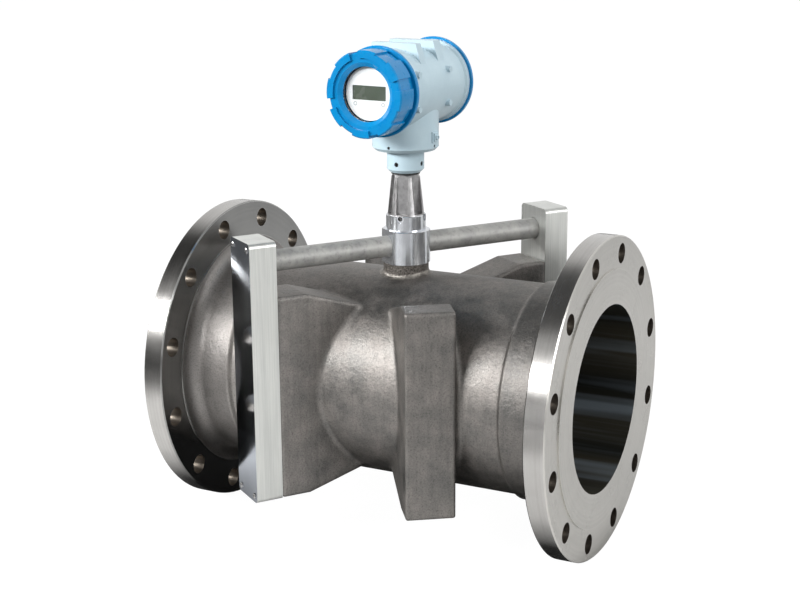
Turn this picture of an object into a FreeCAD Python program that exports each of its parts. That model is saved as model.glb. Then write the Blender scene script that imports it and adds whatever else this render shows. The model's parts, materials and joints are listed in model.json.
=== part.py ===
import FreeCAD, Part
import math
import os

# Ultrasonic flow meter with flanged ends, built in millimetres.
# +X runs along the pipe, +Z is up through the stem and the indicator faces -Y.
# The origin is the point on the pipe axis halfway between the two flange faces.

os.makedirs("parts", exist_ok=True)

V = FreeCAD.Vector
X_AXIS = V(1, 0, 0)
Y_AXIS = V(0, 1, 0)
Z_AXIS = V(0, 0, 1)
ORIGIN = V(0, 0, 0)

# Gaps between pieces
slip_gap = 0.10
soft_gap = 0.25
thread_gap = 0.30
screw_gap = 0.20
edge_break = 1.0

# Flanges: ten inch class 150
face_to_face = 550.0
flange_radius = 203.2
flange_thickness = 28.6
flange_chamfer = 1.5
bolt_edge_distance = 22.225
bolt_circle_radius = flange_radius - bolt_edge_distance
bolt_hole_radius = 12.7
bolt_count = 12
bolt_seat = 19.075
raised_face_radius = bolt_circle_radius - bolt_seat
raised_face_height = 1.6

# Pipe between the flanges
bore_radius = 118.3
pipe_wall = 15.7
pipe_radius = bore_radius + pipe_wall
end_band_step = 4.5
end_band_radius = pipe_radius + end_band_step
end_band_length = 56.0
end_band_ramp = 5.0
hub_fillet = 0.6 * (bolt_circle_radius - bolt_hole_radius - end_band_radius)
hub_land = 1.0
back_face_step = 1.2

# Wings: four upright slabs cast across the pipe, two pairs on the sound paths
wing_angle = 55.0
wing_reach = 60.0
wing_drop = 4.0
wing_end = pipe_radius + wing_reach
wing_half_height = pipe_radius - wing_drop
wing_end_half_width = 30.6
wing_root_half_width = wing_end_half_width + 2.0
wing_flat_start = wing_end - 38.0
wing_ramp_slope = 16.6
wing_inner = 40.0
wing_edge_round = 3.0
root_fillet = 7.0

# Sound path ports in the two covered wings, their heights as shares of the bore radius
path_heights = (-0.809, -0.309, 0.309, 0.809)
probe_radius = 7.5
probe_recess = 1.0
probe_head_radius = probe_radius + 4.5
probe_head_length = 6.0
port_radius = probe_radius + 0.5
seat_depth = 22.5
seat_radius = probe_head_radius + 1.0
plug_radius = 5.5
plug_collar = 1.2
plug_end = wing_end + 12.0
port_ring_minor = 1.15
port_ring_major = probe_radius + soft_gap + port_ring_minor
port_ring_pocket = port_ring_major + port_ring_minor + soft_gap
port_ring_depth = 2 * port_ring_minor + thread_gap
retainer_length = 10.0
retainer_slot_width = 3.0
retainer_slot_depth = 3.0

# Cable conduits from the stem to the covers
conduit_rise = 40.0
conduit_height = wing_half_height + conduit_rise
conduit_radius = 13.6
conduit_bore = conduit_radius - 2.8
conduit_socket = 4.0
conduit_end = wing_end + 7.5
seal_thickness = 2.0
seal_radius = conduit_radius + 0.5
bush_length = 15.0
bush_spigot = 14.0
bush_bore = 6.0

# Sensor covers on the ends of two wings
cover_half_width = wing_end_half_width - 1.1
cover_bottom = -wing_half_height - 2.0
cover_rise = 30.0
cover_top = conduit_height + cover_rise
cover_sheet = 2.0
cover_corner = 6.0
band_depth = 26.0
lid_depth = 9.0
lip_width = 10.0
lip_drop = 2.0
cover_end = wing_end + band_depth + lid_depth
lid_screw_inset = 8.5
lid_boss_radius = 4.5
lid_boss_length = 20.0
lid_boss_web = 3.0
lid_screw_radius = 2.0
lid_screw_head = 3.6
lid_screw_head_height = 1.6
fixing_screw_radius = 2.5
fixing_screw_head = 4.2
fixing_screw_head_height = 3.0
fixing_screw_length = 14.0
fixing_screw_height = wing_half_height - 15.0
fixing_screw_side = cover_half_width - cover_sheet - fixing_screw_head - thread_gap

# Stem on top of the pipe
boss_radius = 29.0
boss_rise = 13.5
boss_top = pipe_radius + boss_rise
boss_fillet = 6.0
block_radius = boss_radius + 2.0
block_flat = boss_radius - 2.0
block_length = 43.5
block_top = boss_top + block_length
collar_radius = 25.4
collar_length = 19.0
collar_top = block_top + collar_length
collar_edge = 0.8
collar_seat_depth = 17.0
stem_bore = 13.0
stem_floor = boss_top + 5.5
notch_radius = 5.3
notch_depth = 2.2
notch_angles = (8.0, 98.0)
notch_drop = 3.2
neck_foot_radius = collar_radius - 4.9
neck_base_radius = collar_radius - 2.1
neck_shoulder_radius = 18.3
neck_length = 48.0
neck_shoulder = collar_top + neck_length
neck_top = neck_shoulder + 4.0
neck_tube_radius = 16.0
neck_tube_top = neck_top + 22.0
neck_bore = 10.0
neck_slot_count = 6
neck_slot_width = 15.0
neck_slot_turn = 13.4
neck_slot_floor = neck_tube_radius + 0.3
neck_base_rim = 1.5
neck_groove_depth = 1.5
neck_groove_width = 7.0
neck_ring_thickness = 2.0
set_screw_radius = 3.0
set_screw_sink = 1.0

# Transmitter head, drawn about its own level axis
spigot_radius = 23.6
spigot_bottom = neck_top + neck_ring_thickness + 2 * soft_gap
spigot_chamfer = 4.0
spigot_screw_height = spigot_bottom + 11.5
spigot_length = 28.5
skirt_radius = 42.0
skirt_bottom = spigot_bottom + spigot_length
skirt_wall = 6.0
skirt_floor = 8.0
skirt_chamfer = 4.0
skirt_room_rise = 14.0
skirt_screw_height = skirt_bottom + 6.5
skirt_screw_radius = 2.0
head_rise = 79.0
head_height = skirt_bottom + head_rise
head_turn = -3.5
head_wire_hole = 8.0
head_screw_angles = (0.0, 90.0)
housing_radius = 50.0
housing_front = 61.5
housing_rear = -73.0
housing_rim_radius = housing_radius + 2.5
housing_rim_width = 8.0
housing_rim_ramp = 2.0
housing_cavity = housing_radius - 6.0
mouth_radius = housing_cavity + 2.0
mouth_depth = 14.0
partition_front = 8.0
partition_rear = 3.0
pad_half_width = 31.0
pad_height = housing_radius + 6.0
pad_draft = 0.32
pad_spans = ((15.5, 28.5), (-32.0, -15.0))
side_boss_radius = 3.8
side_boss_draft = 0.8
side_boss_foot = housing_radius - 10.0
side_boss_reach = housing_radius + 0.5
side_boss_places = ((49.5, 21.0), (49.5, -21.0), (-27.0, 21.0), (-27.0, -21.0))
entry_radius = 10.0
entry_angles = (180.0, 235.0)
entry_boss_radius = entry_radius + 2.75
entry_boss_reach = skirt_radius + 8.0
entry_height = skirt_bottom + entry_boss_radius + 0.25
entry_run_in = 2.0
plug_flange = 2.5
plug_flange_height = 4.0
plug_socket = 5.0
earth_height = skirt_bottom + 18.0
earth_angle = 90.0
earth_pad_half = 7.0
earth_pad_reach = skirt_radius + 1.2
earth_clamp_half = 5.0
earth_clamp_thickness = 2.0
earth_screw_radius = 1.6
earth_screw_head = 3.4
earth_screw_head_height = 2.4
earth_screw_length = 6.5

# Screw covers of the head
cover_rim_radius = housing_rim_radius + 3.2
cover_rim_width = 4.7
cover_groove_depth = 1.2
cover_groove_width = 4.0
front_grip_radius = cover_rim_radius - 2.7
rear_grip_radius = cover_rim_radius - 9.2
grip_width = 9.5
arc_count = 4
arc_width = 75.0
arc_turn = 60.5
lug_width = 27.0
lug_height = 2.3
lug_chamfer = 1.5
face_step = 3.0
front_cover_depth = 38.5
rear_cover_depth = 18.0
rear_cover_wall = 6.0
cover_thread_length = 12.0
cover_cavity = front_grip_radius - grip_width - 3.5
cover_ring_minor = 1.1
cover_ring_major = mouth_radius + 1.7
cover_ring_pocket_depth = 2 * cover_ring_minor + thread_gap
window_radius = 33.3
window_bevel = 5.2
window_bevel_depth = 6.5
glass_radius = window_radius + 2.9
glass_thickness = 3.9
glass_lip = 1.7
retainer_outer = glass_radius + 1.8
retainer_inner = window_radius + 0.5
retainer_thickness = 2.8

# Indicator and electronics inside the head
dial_front = housing_front + 23.5
dial_radius = window_radius - 0.8
dial_thickness = 1.0
screen_width = 47.0
screen_height = 17.5
screen_raise = 0.8
panel_margin = 1.5
panel_thickness = 3.0
electronics_radius = housing_cavity - 6.0
electronics_front = housing_front - 3.5
module_radius = dial_radius - 1.5
module_post_radius = 12.0
module_back = electronics_front + 2.0
module_screw_count = 3
module_screw_radius = 1.4
module_screw_head = 2.7
module_screw_head_height = 2.4
module_screw_circle = electronics_radius - module_screw_head - 0.5
terminal_plate_radius = housing_cavity - 6.0
terminal_plate_front = partition_rear - 13.0
terminal_plate_rear = terminal_plate_front - 6.0
terminal_foot_radius = 4.0
terminal_foot_side = 28.0
terminal_foot_rise = 20.0
terminal_block_width = 60.0
terminal_block_height = 22.0
terminal_block_rear = terminal_plate_rear - 16.0
terminal_count = 6
terminal_well_radius = 3.2
terminal_well_depth = 4.0
terminal_screw_radius = terminal_well_radius - 0.4
terminal_screw_height = 2.5
terminal_slot_width = 1.0


def cylinder(radius, bottom, top):
    return Part.makeCylinder(radius, top - bottom, V(0, 0, bottom))


def box(x0, x1, y0, y1, z0, z1):
    return Part.makeBox(x1 - x0, y1 - y0, z1 - z0, V(x0, y0, z0))


def turned(points):
    """Solid turned about Z from (radius, height) corners."""
    corners = [V(r, 0, z) for r, z in points]
    outline = Part.makePolygon(corners + corners[:1])
    return Part.Face(outline).revolve(ORIGIN, Z_AXIS, 360)


def washer(inner, outer, bottom, top):
    return turned([(inner, bottom), (outer, bottom), (outer, top), (inner, top)])


def ring(major, minor, height):
    return Part.makeTorus(major, minor, V(0, 0, height), Z_AXIS)


def moved(shape, x=0.0, y=0.0, z=0.0):
    copy = shape.copy()
    copy.translate(V(x, y, z))
    return copy


def turned_about(shape, axis, angle):
    copy = shape.copy()
    copy.rotate(ORIGIN, axis, angle)
    return copy


def axis_to_x(shape):
    """Lay a piece drawn along Z down along X."""
    return turned_about(shape, Y_AXIS, 90)


def axis_to_front(shape):
    """Lay a piece drawn along Z down along -Y, which is the front of the head."""
    return turned_about(shape, X_AXIS, 90)


def on_wing(shape, angle):
    return turned_about(shape, Z_AXIS, angle)


def on_head(shape):
    """Place a piece drawn about the head's level axis."""
    return turned_about(moved(axis_to_front(shape), z=head_height), Z_AXIS, head_turn)


def radial(shape, angle, height):
    """Stand a piece drawn along Z outwards from the stem axis, angle 0 being the front."""
    outward = turned_about(axis_to_front(shape), Z_AXIS, angle)
    return moved(outward, z=height)


def group(shapes):
    return Part.makeCompound(shapes)


def save(name, shape):
    shape.exportStep("parts/" + name + ".step")


# Angles of the wings about Z: two carry sensors, two are blank
sensor_wings = {"near": 180.0 + wing_angle, "far": wing_angle}
blank_wings = {"right": -wing_angle, "left": 180.0 - wing_angle}


def flange_half():
    """Half of the turned outside, from mid length to the raised face at +X."""
    half = face_to_face / 2
    bolt_face = half - raised_face_height
    back = half - flange_thickness
    land = back - back_face_step
    band_start = back - end_band_length
    points = [
        V(0, 0, 0),
        V(pipe_radius, 0, 0),
        V(pipe_radius, 0, band_start - end_band_ramp),
        V(end_band_radius, 0, band_start),
        V(end_band_radius, 0, land - hub_fillet),
    ]
    bow = hub_fillet * (1 - math.sqrt(0.5))
    arc = Part.Arc(
        points[-1],
        V(end_band_radius + bow, 0, land - bow),
        V(end_band_radius + hub_fillet, 0, land),
    )
    rim = [
        V(end_band_radius + hub_fillet, 0, land),
        V(end_band_radius + hub_fillet + hub_land, 0, land),
        V(end_band_radius + hub_fillet + hub_land, 0, back),
        V(flange_radius - flange_chamfer, 0, back),
        V(flange_radius, 0, back + flange_chamfer),
        V(flange_radius, 0, bolt_face - flange_chamfer),
        V(flange_radius - flange_chamfer, 0, bolt_face),
        V(raised_face_radius, 0, bolt_face),
        V(raised_face_radius, 0, half),
        V(0, 0, half),
        V(0, 0, 0),
    ]
    edges = Part.makePolygon(points).Edges + [arc.toShape()] + Part.makePolygon(rim).Edges
    profile = Part.Face(Part.Wire(edges))
    return axis_to_x(profile.revolve(ORIGIN, Z_AXIS, 360))


def wing_slab():
    """One wing along +X: a tapered plan cut to the side outline with its two ramps."""
    rise = (wing_flat_start - wing_inner) * math.tan(math.radians(wing_ramp_slope))
    root = wing_half_height - rise
    side = [
        (wing_inner, root),
        (wing_flat_start, wing_half_height),
        (wing_end, wing_half_height),
        (wing_end, -wing_half_height),
        (wing_flat_start, -wing_half_height),
        (wing_inner, -root),
    ]
    side_corners = [V(x, -wing_end, z) for x, z in side]
    side_wire = Part.makePolygon(side_corners + side_corners[:1])
    side_solid = Part.Face(side_wire).extrude(V(0, 2 * wing_end, 0))
    plan = [
        (wing_inner, -wing_root_half_width),
        (wing_end, -wing_end_half_width),
        (wing_end, wing_end_half_width),
        (wing_inner, wing_root_half_width),
    ]
    plan_corners = [V(x, y, -wing_end) for x, y in plan]
    plan_wire = Part.makePolygon(plan_corners + plan_corners[:1])
    slab = Part.Face(plan_wire).extrude(V(0, 0, 2 * wing_end)).common(side_solid)
    rounded = []
    for edge in slab.Edges:
        points = [vertex.Point for vertex in edge.Vertexes]
        if min(point.x for point in points) > wing_inner + 1 or (
            abs(points[0].x - points[1].x) > wing_inner and abs(points[0].z - points[1].z) > 1
        ):
            rounded.append(edge)
    return slab.makeFillet(wing_edge_round, rounded)


def port_tip(height):
    """Distance from the stem axis at which a port breaks into the flow bore."""
    half_chord = math.sqrt(bore_radius ** 2 - height ** 2)
    return half_chord / math.sin(math.radians(wing_angle))


def probe_tip(height):
    """Distance from the stem axis of a probe's face, so that its rim stays clear of the bore."""
    turn = math.radians(wing_angle)
    rim_height = abs(height) - probe_radius
    rim_side = math.sqrt((bore_radius + probe_recess) ** 2 - rim_height ** 2)
    return (rim_side + probe_radius * math.cos(turn)) / math.sin(turn)


def port_cut(height):
    seat = wing_end - seat_depth
    start = port_tip(height) - 3 * port_radius
    cut = cylinder(port_radius, start, wing_end)
    cut = cut.fuse(cylinder(port_ring_pocket, seat - port_ring_depth, wing_end))
    cut = cut.fuse(cylinder(seat_radius, seat, wing_end + 1))
    return moved(axis_to_x(cut), z=height)


def is_root_edge(edge):
    """True for the curves in which a wing meets the round pipe."""
    bounds = edge.BoundBox
    point = edge.valueAt((edge.FirstParameter + edge.LastParameter) / 2)
    on_pipe = abs(math.hypot(point.y, point.z) - pipe_radius) < 0.5
    bulging = min(bounds.XLength, bounds.YLength, bounds.ZLength) > 1
    return on_pipe and bulging and abs(point.y) > wing_inner


def meter_body():
    """The casting with its flanges, wings and stem boss."""
    outside = flange_half().fuse(turned_about(flange_half(), Z_AXIS, 180))
    slab = wing_slab()
    angles = list(sensor_wings.values()) + list(blank_wings.values())
    outside = outside.fuse([on_wing(slab, angle) for angle in angles])
    boss = cylinder(boss_radius, pipe_radius - pipe_wall / 2, boss_top)
    outside = outside.fuse(boss).removeSplitter()
    roots = [edge for edge in outside.Edges if is_root_edge(edge)]
    outside = outside.makeFillet(root_fillet, roots)
    foot = []
    for edge in outside.Edges:
        point = edge.valueAt(edge.FirstParameter)
        on_boss = abs(math.hypot(point.x, point.y) - boss_radius) < 0.1
        if on_boss and edge.BoundBox.ZMin > 0 and edge.BoundBox.ZMax < boss_top - 1:
            foot.append(edge)
    outside = outside.makeFillet(boss_fillet, foot)
    bore = axis_to_x(cylinder(bore_radius, -face_to_face, face_to_face))
    body = outside.cut(bore)
    holes = []
    inner = face_to_face / 2 - 2 * flange_thickness
    outer = face_to_face / 2 + 1
    for number in range(bolt_count):
        turn = 360.0 * (number + 0.5) / bolt_count
        for start, end in ((-outer, -inner), (inner, outer)):
            hole = moved(axis_to_x(cylinder(bolt_hole_radius, start, end)), z=bolt_circle_radius)
            holes.append(turned_about(hole, X_AXIS, turn))
    body = body.cut(holes)
    cuts = []
    for angle in sensor_wings.values():
        for share in path_heights:
            cuts.append(on_wing(port_cut(share * bore_radius), angle))
        for side in (-fixing_screw_side, fixing_screw_side):
            for height in (-fixing_screw_height, fixing_screw_height):
                hole = cylinder(fixing_screw_radius, wing_end - fixing_screw_length, wing_end + 1)
                cuts.append(on_wing(moved(axis_to_x(hole), y=side, z=height), angle))
    return body.cut(cuts)


def transducer(height):
    """Sound probe of one port, drawn along Z from its tip to its plug."""
    seat = wing_end - seat_depth
    tip = probe_tip(height)
    head_end = seat + probe_head_length
    return turned([
        (0, tip),
        (probe_radius - edge_break, tip),
        (probe_radius, tip + edge_break),
        (probe_radius, seat),
        (probe_head_radius, seat),
        (probe_head_radius, head_end),
        (plug_radius + plug_collar, head_end),
        (plug_radius + plug_collar, wing_end - plug_collar),
        (plug_radius, wing_end - plug_collar),
        (plug_radius, plug_end - edge_break),
        (plug_radius - edge_break, plug_end),
        (0, plug_end),
    ])


def port_retainer():
    """Slotted threaded ring that holds a transducer on its seat."""
    bottom = wing_end - seat_depth + probe_head_length
    top = bottom + retainer_length
    inner = plug_radius + plug_collar + 2 * screw_gap
    body = washer(inner, seat_radius - thread_gap, bottom, top)
    half_slot = retainer_slot_width / 2
    slot = box(-seat_radius, seat_radius, -half_slot, half_slot, top - retainer_slot_depth, top + 1)
    return body.cut(slot)


def build_transducers():
    for side, angle in sensor_wings.items():
        rings = []
        retainers = []
        for number, share in enumerate(path_heights, start=1):
            height = share * bore_radius
            probe = moved(axis_to_x(transducer(height)), z=height)
            save("transducer_" + side + "_" + str(number), on_wing(probe, angle))
            seal_height = wing_end - seat_depth - port_ring_depth / 2
            seal = axis_to_x(ring(port_ring_major, port_ring_minor, seal_height))
            rings.append(on_wing(moved(seal, z=height), angle))
            retainers.append(on_wing(moved(axis_to_x(port_retainer()), z=height), angle))
        save("transducer_o_rings_" + side, group(rings))
        save("transducer_retainers_" + side, group(retainers))


def rounded_slab(inset, x0, x1):
    """Upright rounded rectangle of the sensor cover, drawn in by an inset."""
    radius = cover_corner - inset if cover_corner > inset else 0
    half = cover_half_width - inset
    slab = box(x0, x1, -half, half, cover_bottom + inset, cover_top - inset)
    if radius > 0:
        corners = [e for e in slab.Edges if e.BoundBox.XLength > 0.9 * (x1 - x0)]
        slab = slab.makeFillet(radius, corners)
    return slab


def lid_screw_places():
    side = cover_half_width - lid_screw_inset
    return [
        (y, z)
        for y in (-side, side)
        for z in (cover_bottom + lid_screw_inset, cover_top - lid_screw_inset)
    ]


def cover_band():
    """Folded ring of the sensor cover with its bolting lips and lid bosses."""
    start = wing_end
    end = wing_end + band_depth
    band = rounded_slab(0, start, end)
    inner = rounded_slab(cover_sheet, start - 1, end + 1)
    lips = rounded_slab(cover_sheet / 2, start, start + cover_sheet)
    window_side = cover_half_width - cover_sheet - lip_width
    lips = lips.cut(box(
        start - 1, end, -window_side, window_side, cover_bottom + cover_sheet + lip_width, cover_top
    ))
    lips = lips.cut(box(
        start - 1, end, -cover_half_width, cover_half_width, wing_half_height - lip_drop, cover_top + 1
    ))
    band = band.cut(inner).fuse(lips)
    for y, z in lid_screw_places():
        boss = axis_to_x(cylinder(lid_boss_radius, end - lid_boss_length, cover_end - cover_sheet))
        web_y = math.copysign(cover_half_width - cover_sheet / 2, y)
        low = z - lid_boss_web / 2
        high = z + lid_boss_web / 2
        web = box(end - lid_boss_length, end, min(y, web_y), max(y, web_y), low, high)
        band = band.fuse([moved(boss, y=y, z=z), web])
    band = band.removeSplitter()
    for y, z in lid_screw_places():
        hole = axis_to_x(cylinder(lid_screw_radius, end - lid_boss_length + cover_sheet, cover_end))
        band = band.cut(moved(hole, y=y, z=z))
    for y in (-fixing_screw_side, fixing_screw_side):
        for z in (-fixing_screw_height, fixing_screw_height):
            hole = axis_to_x(cylinder(fixing_screw_radius, start - 1, start + cover_sheet + 1))
            band = band.cut(moved(hole, y=y, z=z))
    return band


def end_plate():
    """Polished lid of the sensor cover, a shallow pan."""
    start = wing_end + band_depth
    pan = rounded_slab(0, start, cover_end)
    pan = pan.cut(rounded_slab(cover_sheet, start - 1, cover_end - cover_sheet))
    for y, z in lid_screw_places():
        hole = axis_to_x(cylinder(lid_screw_radius, start, cover_end + 1))
        pan = pan.cut(moved(hole, y=y, z=z))
    return pan


def screw(radius, head_radius, head_height, length):
    """Socket screw drawn along Z, its head sitting on Z = 0 with the socket above."""
    body = turned([
        (0, -length),
        (radius * 0.8, -length),
        (radius, -length + radius * 0.2),
        (radius, 0),
        (head_radius, 0),
        (head_radius, head_height * 0.6),
        (head_radius * 0.7, head_height),
        (0, head_height),
    ])
    return body.cut(hexagon(head_radius * 0.45, head_height * 0.4, head_height + 1))


def hexagon(apothem, bottom, top):
    corner = apothem / math.cos(math.pi / 6)
    points = [
        V(corner * math.cos(k * math.pi / 3), corner * math.sin(k * math.pi / 3), bottom)
        for k in range(6)
    ]
    face = Part.Face(Part.makePolygon(points + points[:1]))
    return face.extrude(V(0, 0, top - bottom))


def build_sensor_covers():
    for side, angle in sensor_wings.items():
        save("cover_band_" + side, on_wing(cover_band(), angle))
        save("end_plate_" + side, on_wing(end_plate(), angle))
        lid_screw = screw(
            lid_screw_radius - screw_gap, lid_screw_head, lid_screw_head_height, lid_boss_length
        )
        lid_screw = axis_to_x(moved(lid_screw, z=cover_end))
        lid_screws = [on_wing(moved(lid_screw, y=y, z=z), angle) for y, z in lid_screw_places()]
        save("end_plate_screws_" + side, group(lid_screws))
        seat = wing_end + cover_sheet
        fixing = screw(
            fixing_screw_radius - screw_gap,
            fixing_screw_head,
            fixing_screw_head_height,
            fixing_screw_length,
        )
        fixing = axis_to_x(moved(fixing, z=seat))
        fixings = [
            on_wing(moved(fixing, y=y, z=z), angle)
            for y in (-fixing_screw_side, fixing_screw_side)
            for z in (-fixing_screw_height, fixing_screw_height)
        ]
        save("cover_fixing_screws_" + side, group(fixings))


def build_conduits():
    start = block_flat - conduit_socket
    bush_seat = conduit_end + seal_thickness
    tube = washer(conduit_bore, conduit_radius, start, conduit_end)
    seal = washer(conduit_bore, seal_radius, conduit_end, bush_seat)
    bush = turned([
        (bush_bore, bush_seat - bush_spigot),
        (conduit_bore - soft_gap, bush_seat - bush_spigot),
        (conduit_bore - soft_gap, bush_seat),
        (conduit_radius, bush_seat),
        (conduit_radius, bush_seat + bush_length - edge_break),
        (conduit_radius - edge_break, bush_seat + bush_length),
        (bush_bore, bush_seat + bush_length),
    ])
    for side, angle in sensor_wings.items():
        for name, piece in (("tube", tube), ("seal", seal), ("bush", bush)):
            placed = on_wing(moved(axis_to_x(piece), z=conduit_height), angle)
            save("conduit_" + name + "_" + side, placed)


def stem_block():
    """Turned block between the casting and the neck, flat where the conduits enter."""
    seat = collar_top - collar_seat_depth
    outside = turned([
        (0, boss_top),
        (block_radius - edge_break, boss_top),
        (block_radius, boss_top + edge_break),
        (block_radius, block_top - edge_break),
        (block_radius - edge_break, block_top),
        (collar_radius, block_top),
        (collar_radius, collar_top - collar_edge),
        (collar_radius - collar_edge, collar_top),
        (0, collar_top),
    ])
    cuts = [cylinder(stem_bore, stem_floor, seat)]
    cuts.append(cylinder(neck_foot_radius + slip_gap, seat, collar_top + 1))
    for angle in sensor_wings.values():
        flat = box(block_flat, block_radius + 1, -block_radius, block_radius, boss_top - 1, block_top)
        cuts.append(on_wing(flat, angle))
        socket = cylinder(conduit_radius + slip_gap, block_flat - conduit_socket, block_radius + 1)
        wires = cylinder(conduit_bore, 0, block_flat)
        way = moved(axis_to_x(socket.fuse(wires)), z=conduit_height)
        cuts.append(on_wing(way, angle))
    notch = collar_top - notch_drop
    for angle in notch_angles:
        spot_face = cylinder(notch_radius, collar_radius - notch_depth, collar_radius + 1)
        cuts.append(radial(spot_face, angle, notch))
        cuts.append(radial(cylinder(set_screw_radius, stem_bore, collar_radius), angle, notch))
    return outside.cut(cuts)


def tapered_neck():
    """Tapered neck with six milled slots, its foot in the collar and its tube in the head."""
    foot = collar_top - collar_seat_depth
    outside = turned([
        (0, collar_top),
        (neck_base_radius, collar_top),
        (neck_shoulder_radius, neck_shoulder),
        (neck_tube_radius, neck_top),
        (0, neck_top),
    ])
    half = neck_slot_width / 2
    slot_bottom = collar_top + neck_base_rim
    slot = box(neck_slot_floor, neck_base_radius + 1, -half, half, slot_bottom, neck_top + 1)
    slots = []
    for k in range(neck_slot_count):
        slots.append(turned_about(slot, Z_AXIS, neck_slot_turn - 90 + 360.0 * k / neck_slot_count))
    outside = outside.cut(slots)
    outside = outside.fuse(cylinder(neck_foot_radius, foot, collar_top))
    outside = outside.fuse(cylinder(neck_tube_radius, neck_top, neck_tube_top))
    groove = washer(
        neck_tube_radius - neck_groove_depth,
        neck_tube_radius + 1,
        spigot_screw_height - neck_groove_width / 2,
        spigot_screw_height + neck_groove_width / 2,
    )
    return outside.cut([groove, cylinder(neck_bore, foot - 1, neck_tube_top + 1)])


def grub_screw(radius, inner, outer):
    body = cylinder(radius, inner, outer)
    return body.cut(hexagon(radius * 0.5, outer - radius, outer + 1))


def build_stem():
    save("stem_block", stem_block())
    save("tapered_neck", tapered_neck())
    notch = collar_top - notch_drop
    screw_end = collar_radius - notch_depth - screw_gap
    collar_grub = grub_screw(set_screw_radius - slip_gap, neck_foot_radius, screw_end)
    save("collar_set_screws", group([radial(collar_grub, a, notch) for a in notch_angles]))
    ring_bottom = neck_top + soft_gap
    save("neck_ring", washer(
        neck_tube_radius + soft_gap, neck_shoulder_radius, ring_bottom, ring_bottom + neck_ring_thickness
    ))


def module_screw_places():
    places = []
    for k in range(module_screw_count):
        turn = math.radians(90 + 360.0 * k / module_screw_count)
        places.append((module_screw_circle * math.cos(turn), module_screw_circle * math.sin(turn)))
    return places


def transmitter_housing():
    """Painted head casting: a level barrel on a round skirt with a clamping spigot."""
    barrel = turned([
        (0, housing_rear),
        (housing_rim_radius, housing_rear),
        (housing_rim_radius, housing_rear + housing_rim_width - housing_rim_ramp),
        (housing_radius, housing_rear + housing_rim_width),
        (housing_radius, housing_front - housing_rim_width),
        (housing_rim_radius, housing_front - housing_rim_width + housing_rim_ramp),
        (housing_rim_radius, housing_front),
        (0, housing_front),
    ])
    barrel = moved(axis_to_front(barrel), z=head_height)
    skirt = turned([
        (0, spigot_bottom),
        (spigot_radius - spigot_chamfer, spigot_bottom),
        (spigot_radius, spigot_bottom + spigot_chamfer),
        (spigot_radius, skirt_bottom - edge_break),
        (spigot_radius + 2 * edge_break, skirt_bottom),
        (skirt_radius - skirt_chamfer, skirt_bottom),
        (skirt_radius, skirt_bottom + skirt_chamfer),
        (skirt_radius, head_height),
        (0, head_height),
    ])
    pieces = [skirt]
    pad_foot = pad_half_width + pad_draft * pad_height
    for rear, front in pad_spans:
        corners = [
            V(-pad_foot, -front, head_height),
            V(pad_foot, -front, head_height),
            V(pad_half_width, -front, head_height + pad_height),
            V(-pad_half_width, -front, head_height + pad_height),
        ]
        pieces.append(Part.Face(Part.makePolygon(corners + corners[:1])).extrude(V(0, front - rear, 0)))
    for forward, height in side_boss_places:
        boss = turned([
            (0, side_boss_foot),
            (side_boss_radius + side_boss_draft, side_boss_foot),
            (side_boss_radius, side_boss_reach),
            (0, side_boss_reach),
        ])
        pieces.append(moved(axis_to_x(boss), y=-forward, z=head_height + height))
    for angle in entry_angles:
        boss = cylinder(entry_boss_radius, skirt_radius - 2 * skirt_wall, entry_boss_reach)
        pieces.append(radial(boss, angle, entry_height))
    pad = box(
        -earth_pad_half, earth_pad_half, -earth_pad_half, earth_pad_half,
        skirt_radius - skirt_wall + 2, earth_pad_reach,
    )
    pieces.append(radial(pad, earth_angle, earth_height))
    outside = barrel.fuse(pieces).removeSplitter()
    front_room = cylinder(housing_cavity, partition_front, housing_front + 1)
    rear_room = cylinder(housing_cavity, housing_rear - 1, partition_rear)
    front_mouth = cylinder(mouth_radius, housing_front - mouth_depth, housing_front + 1)
    rear_mouth = cylinder(mouth_radius, housing_rear - 1, housing_rear + mouth_depth)
    rooms = front_room.fuse([rear_room, front_mouth, rear_mouth])
    cuts = [moved(axis_to_front(rooms), z=head_height)]
    floor = skirt_bottom + skirt_floor
    skirt_room = skirt_radius - skirt_wall
    cuts.append(cylinder(skirt_room, floor, head_height - housing_cavity + skirt_room_rise))
    cuts.append(cylinder(neck_tube_radius + slip_gap, spigot_bottom - 1, neck_tube_top + 1))
    cuts.append(cylinder(head_wire_hole, neck_tube_top, floor + 1))
    for angle in head_screw_angles:
        cuts.append(radial(cylinder(set_screw_radius, 0, skirt_radius), angle, spigot_screw_height))
        screw_hole = cylinder(skirt_screw_radius, skirt_room - 1, skirt_radius + 1)
        cuts.append(radial(screw_hole, angle, skirt_screw_height))
    for angle in entry_angles:
        entry = cylinder(entry_radius, skirt_room - entry_run_in, entry_boss_reach + 1)
        cuts.append(radial(entry, angle, entry_height))
    earth_hole = cylinder(
        earth_screw_radius + slip_gap,
        earth_pad_reach + earth_clamp_thickness - earth_screw_length - slip_gap,
        earth_pad_reach + 1,
    )
    cuts.append(radial(earth_hole, earth_angle, earth_height))
    for x, y in module_screw_places():
        hole = cylinder(module_screw_radius + slip_gap, partition_rear + 1, partition_front + 1)
        cuts.append(moved(axis_to_front(moved(hole, x=x, y=y)), z=head_height))
    return turned_about(outside.cut(cuts), Z_AXIS, head_turn)


def grip_arc(radius, inner, foot, top, middle, width):
    """Raised part of a cover's grip, centred on one angle."""
    arc = turned([
        (inner, foot),
        (radius, foot),
        (radius, top - lug_chamfer),
        (radius - lug_chamfer, top),
        (inner, top),
    ])
    sector = Part.makeCylinder(radius + 1, top + 1, ORIGIN, Z_AXIS, width)
    return turned_about(arc.common(sector), Z_AXIS, middle - width / 2)


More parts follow.
